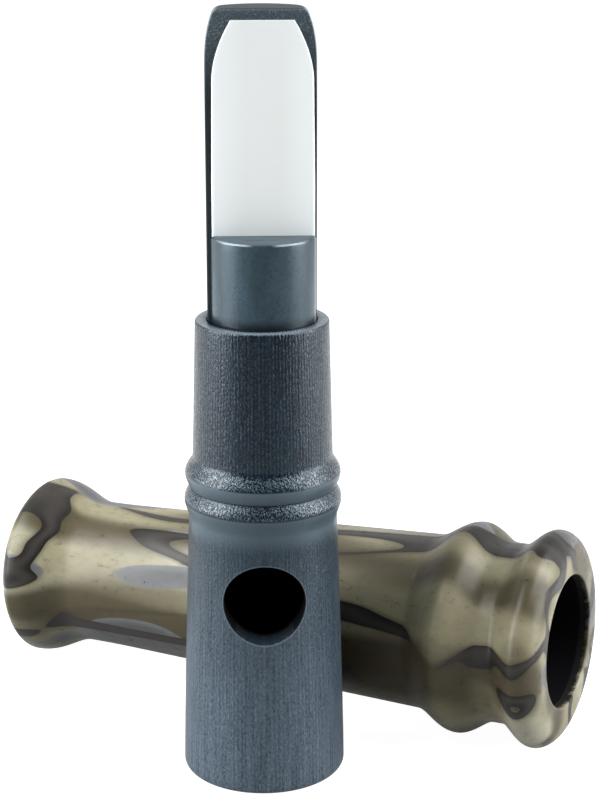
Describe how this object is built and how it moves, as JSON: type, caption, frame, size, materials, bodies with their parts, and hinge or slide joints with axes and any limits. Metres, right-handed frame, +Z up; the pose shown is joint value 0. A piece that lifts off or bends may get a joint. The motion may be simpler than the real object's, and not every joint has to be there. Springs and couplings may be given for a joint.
{
  "type": "bird call",
  "caption": "Short-reed bird call taken apart: a call body standing with its tone board, reed and wedge, and the camouflage-patterned barrel lying behind it.",
  "frame": {"origin": "centre of the call body's base, on the surface that the call stands on", "axes": "+Z up along the call body's axis, -Y towards the side with the port, the reed and the wedge, +X towards the barrel's flange"},
  "size_m": [0.0943, 0.0704, 0.1112],
  "materials": {
    "call_body": "satin slate plastic, finely scored along its length",
    "tone_board": "dark moulded plastic with a fine grain",
    "reed_film": "smooth milky film",
    "wedge": "smooth satin plastic",
    "barrel_camo": "satin plastic with a soft-edged camouflage print"
  },
  "bodies": {
    "call_body": {"insert": "call_body"},
    "guts": {"tone_board": "tone_board"},
    "reed": {"reed": "reed_film"},
    "wedge": {"wedge": "wedge"},
    "barrel": {"barrel": "barrel_camo"}
  },
  "joints": [
    {"name": "guts_slide", "type": "slide", "parent": "call_body", "child": "guts", "axis": [0, 0, 1], "range_m": [0, 0.034]},
    {"name": "wedge_slide", "type": "slide", "parent": "guts", "child": "wedge", "axis": [0, 0, 1], "range_m": [0, 0.032]},
    {"name": "reed_flex", "type": "hinge", "parent": "guts", "child": "reed", "pos_m": [0, -0.001, 0.084], "axis": [-1, 0, 0], "range_deg": [0, 3.2], "stiffness_Nm_per_rad": 0.02, "deforming": ["reed"]},
    {"name": "barrel_lift", "type": "slide", "parent": "call_body", "child": "barrel", "axis": [0, 0, 1], "range_m": [0, 0.12]}
  ]
}
